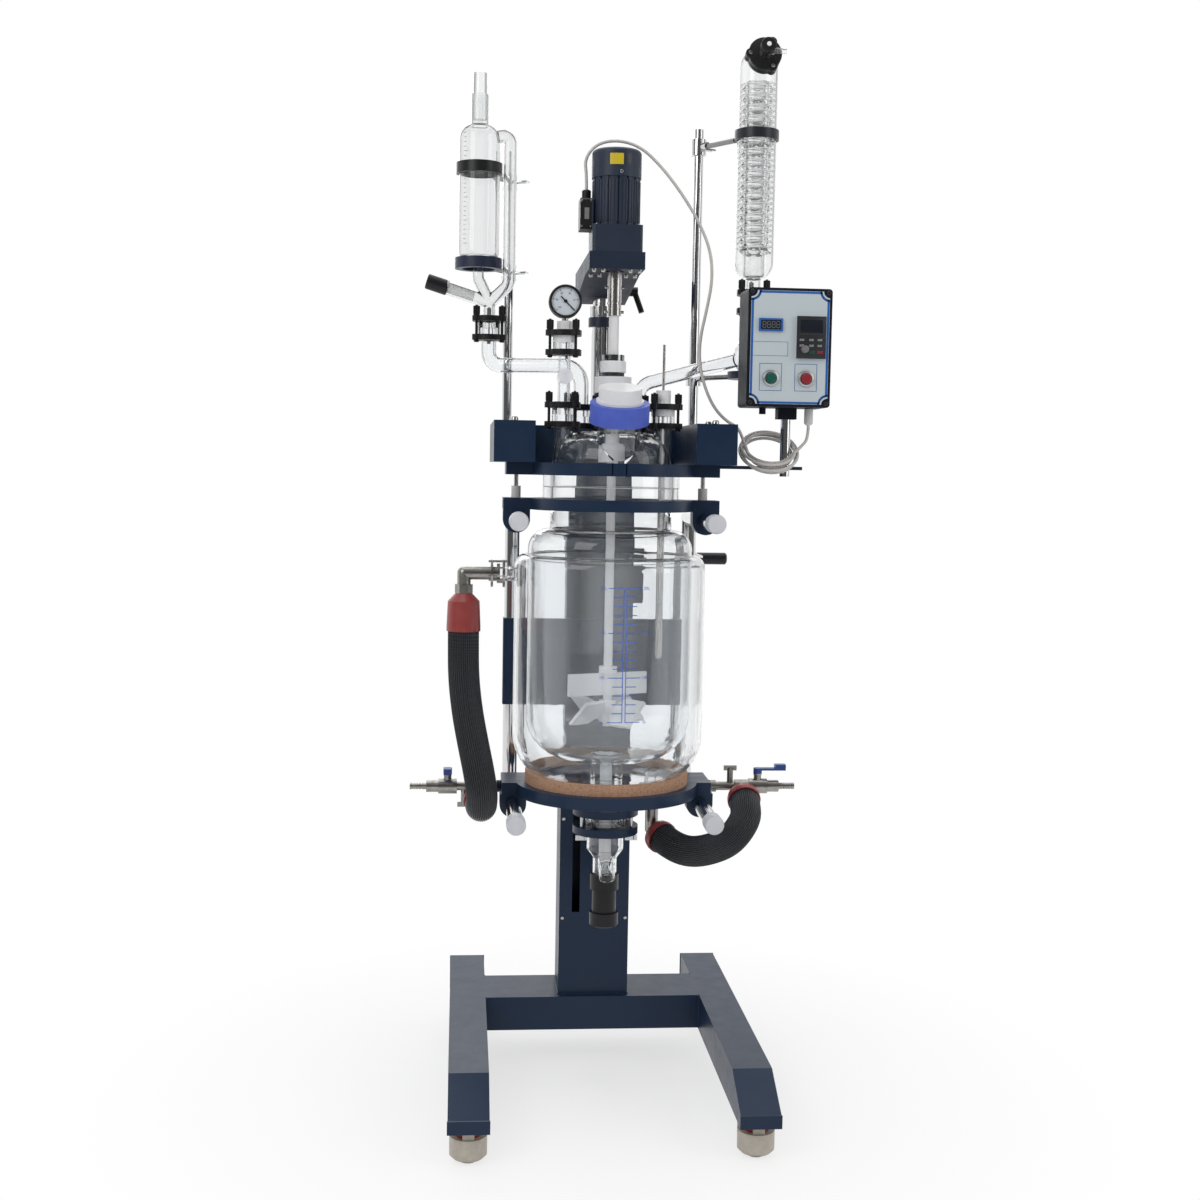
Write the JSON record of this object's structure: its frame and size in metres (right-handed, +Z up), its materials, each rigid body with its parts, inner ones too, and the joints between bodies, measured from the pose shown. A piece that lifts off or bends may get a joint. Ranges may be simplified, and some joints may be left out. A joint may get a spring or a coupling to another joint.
{
  "type": "jacketed glass reactor",
  "caption": "Wheeled stand with a crank lift, double-wall glass vessel and lid, stirrer drive, dropping funnel, coil condenser, gauge, control box and braided jacket hoses.",
  "frame": {"origin": "on the floor, under the middle of the object's outline", "axes": "+Z up, +Y to the back where the column stands, +X to the right seen from the front"},
  "size_m": [0.738, 0.769, 1.9508],
  "materials": {
    "navy_paint": "satin powder coat",
    "slate_paint": "satin",
    "steel": "brushed",
    "chrome": "polished",
    "aluminium": "satin",
    "glass": "clear borosilicate",
    "ptfe": "waxy white",
    "black_plastic": "matt",
    "blue_plastic": "smooth",
    "red_plastic": "smooth",
    "beige_plastic": "matt",
    "dark_rubber": "matt",
    "braid": "braided sleeve",
    "cork": "cork",
    "green_plastic": "smooth",
    "cable_white": "smooth",
    "panel": "satin"
  },
  "bodies": {
    "stand": {"base_frame": "navy_paint", "column": "navy_paint", "upper_frame": "navy_paint", "support_rods": "chrome", "glass_holders": "navy_paint", "lid_glass": "glass", "clamp_plates": "black_plastic", "clamp_bolts": "black_plastic", "funnel_glass": "glass", "glass_arms": "glass", "condenser": "glass", "instruments": "steel", "drive_bracket": "navy_paint", "gear_motor": "slate_paint", "ptfe_fittings": "ptfe", "control_box": "panel", "motor_cable": "cable_white", "cord_coil": "cable_white", "box_lead": "cable_white"},
    "lift": {"vessel_glass": "glass", "neck_ring": "navy_paint", "base_ring": "navy_paint", "cork_ring": "cork", "lift_posts": "steel", "carriage": "navy_paint", "lift_fasteners": "steel", "pipe_fittings": "steel", "hose_left": "braid", "hose_right": "braid", "hose_caps": "red_plastic", "discharge_rings": "navy_paint", "discharge_glass": "glass", "discharge_collar": "black_plastic"},
    "stirrer": {"stirrer_coupling": "steel", "stirrer": "ptfe"},
    "gauge_needle_body": {"gauge_needle": "black_plastic"},
    "funnel_knob_body": {"funnel_knob": "black_plastic"},
    "stopcock_key_body": {"stopcock_key": "ptfe"},
    "condenser_knob_body": {"condenser_knob": "black_plastic"},
    "clamp_lever_body": {"clamp_lever": "black_plastic"},
    "port_ring_body": {"port_ring": "blue_plastic"},
    "start_button_body": {"start_button": "green_plastic"},
    "stop_button_body": {"stop_button": "red_plastic"},
    "speed_knob_body": {"speed_knob": "black_plastic"},
    "crank_body": {"crank": "steel"},
    "valve_lever_left_body": {"valve_lever_left": "blue_plastic"},
    "valve_lever_right_body": {"valve_lever_right": "blue_plastic"},
    "discharge_knob_body": {"discharge_knob": "black_plastic"},
    "caster_front_left": {"caster_front_left": "beige_plastic"},
    "wheel_front_left": {"wheel_front_left": "dark_rubber"},
    "foot_front_left": {"foot_front_left": "red_plastic"},
    "caster_front_right": {"caster_front_right": "beige_plastic"},
    "wheel_front_right": {"wheel_front_right": "dark_rubber"},
    "foot_front_right": {"foot_front_right": "red_plastic"},
    "caster_rear_left": {"caster_rear_left": "beige_plastic"},
    "wheel_rear_left": {"wheel_rear_left": "dark_rubber"},
    "foot_rear_left": {"foot_rear_left": "red_plastic"},
    "caster_rear_right": {"caster_rear_right": "beige_plastic"},
    "wheel_rear_right": {"wheel_rear_right": "dark_rubber"},
    "foot_rear_right": {"foot_rear_right": "red_plastic"}
  },
  "joints": [
    {"name": "vessel_lift", "type": "slide", "parent": "stand", "child": "lift", "axis": [0, 0, 1], "range_m": [-0.25, 0]},
    {"name": "crank_turn", "type": "hinge", "parent": "stand", "child": "crank_body", "pos_m": [0.188, 0.1655, 0.989], "axis": [1, 0, 0], "range_deg": [-9000, 0]},
    {"name": "stirrer_spin", "type": "hinge", "parent": "stand", "child": "stirrer", "pos_m": [-0.012, -0.0935, 1.439], "axis": [0, 0, 1], "continuous": true},
    {"name": "clamp_lever_turn", "type": "hinge", "parent": "stand", "child": "clamp_lever_body", "pos_m": [0.037, 0.1655, 1.511], "axis": [1, 0, 0], "range_deg": [-60, 60]},
    {"name": "funnel_knob_turn", "type": "hinge", "parent": "stand", "child": "funnel_knob_body", "pos_m": [-0.3085, 0.0265, 1.49339], "axis": [-0.9563, 0, 0.2924], "range_deg": [0, 1080]},
    {"name": "stopcock_turn", "type": "hinge", "parent": "stand", "child": "stopcock_key_body", "pos_m": [-0.10084, -0.1132, 1.328], "axis": [0, -1, 0], "range_deg": [-90, 90]},
    {"name": "condenser_knob_turn", "type": "hinge", "parent": "stand", "child": "condenser_knob_body", "pos_m": [0.259, -0.06173, 1.92475], "axis": [0, -0.9781, 0.2079], "range_deg": [0, 720]},
    {"name": "port_ring_turn", "type": "hinge", "parent": "stand", "child": "port_ring_body", "pos_m": [-0.008, -0.1835, 1.265], "axis": [0, -0.2588, 0.9659], "range_deg": [0, 540]},
    {"name": "gauge_needle_turn", "type": "hinge", "parent": "stand", "child": "gauge_needle_body", "pos_m": [-0.10084, -0.1132, 1.46], "axis": [0, -1, 0], "range_deg": [0, 270]},
    {"name": "speed_knob_turn", "type": "hinge", "parent": "stand", "child": "speed_knob_body", "pos_m": [0.319, -0.1555, 1.383], "axis": [0, -1, 0], "range_deg": [0, 300]},
    {"name": "valve_left_turn", "type": "hinge", "parent": "lift", "child": "valve_lever_left_body", "pos_m": [-0.3, -0.0515, 0.58206], "axis": [0, 0, 1], "range_deg": [-90, 0]},
    {"name": "valve_right_turn", "type": "hinge", "parent": "lift", "child": "valve_lever_right_body", "pos_m": [0.276, -0.0515, 0.58206], "axis": [0, 0, 1], "range_deg": [0, 90]},
    {"name": "discharge_turn", "type": "hinge", "parent": "lift", "child": "discharge_knob_body", "pos_m": [-0.012, -0.0935, 0.3578], "axis": [0, 0, 1], "range_deg": [0, 1440]},
    {"name": "start_button_press", "type": "slide", "parent": "stand", "child": "start_button_body", "axis": [0, 1, 0], "range_m": [0, 0.003], "stiffness_N_per_m": 300},
    {"name": "stop_button_press", "type": "slide", "parent": "stand", "child": "stop_button_body", "axis": [0, 1, 0], "range_m": [0, 0.003], "stiffness_N_per_m": 300},
    {"name": "swivel_front_left", "type": "hinge", "parent": "stand", "child": "caster_front_left", "pos_m": [-0.258, -0.3385, 0.062], "axis": [0, 0, 1], "continuous": true},
    {"name": "roll_front_left", "type": "hinge", "parent": "caster_front_left", "child": "wheel_front_left", "pos_m": [-0.258, -0.3035, 0.021], "axis": [1, 0, 0], "continuous": true},
    {"name": "jack_front_left", "type": "slide", "parent": "caster_front_left", "child": "foot_front_left", "axis": [0, 0, 1], "range_m": [0, 0.005]},
    {"name": "swivel_front_right", "type": "hinge", "parent": "stand", "child": "caster_front_right", "pos_m": [0.234, -0.3385, 0.062], "axis": [0, 0, 1], "continuous": true},
    {"name": "roll_front_right", "type": "hinge", "parent": "caster_front_right", "child": "wheel_front_right", "pos_m": [0.234, -0.3035, 0.021], "axis": [1, 0, 0], "continuous": true},
    {"name": "jack_front_right", "type": "slide", "parent": "caster_front_right", "child": "foot_front_right", "axis": [0, 0, 1], "range_m": [0, 0.005]},
    {"name": "swivel_rear_left", "type": "hinge", "parent": "stand", "child": "caster_rear_left", "pos_m": [-0.258, 0.3255, 0.062], "axis": [0, 0, 1], "continuous": true},
    {"name": "roll_rear_left", "type": "hinge", "parent": "caster_rear_left", "child": "wheel_rear_left", "pos_m": [-0.258, 0.3605, 0.021], "axis": [1, 0, 0], "continuous": true},
    {"name": "jack_rear_left", "type": "slide", "parent": "caster_rear_left", "child": "foot_rear_left", "axis": [0, 0, 1], "range_m": [0, 0.005]},
    {"name": "swivel_rear_right", "type": "hinge", "parent": "stand", "child": "caster_rear_right", "pos_m": [0.234, 0.3255, 0.062], "axis": [0, 0, 1], "continuous": true},
    {"name": "roll_rear_right", "type": "hinge", "parent": "caster_rear_right", "child": "wheel_rear_right", "pos_m": [0.234, 0.3605, 0.021], "axis": [1, 0, 0], "continuous": true},
    {"name": "jack_rear_right", "type": "slide", "parent": "caster_rear_right", "child": "foot_rear_right", "axis": [0, 0, 1], "range_m": [0, 0.005]}
  ],
  "couplings": [
    {"joint": "crank_turn", "follows": "vessel_lift", "rad_per_m": 628.32}
  ]
}
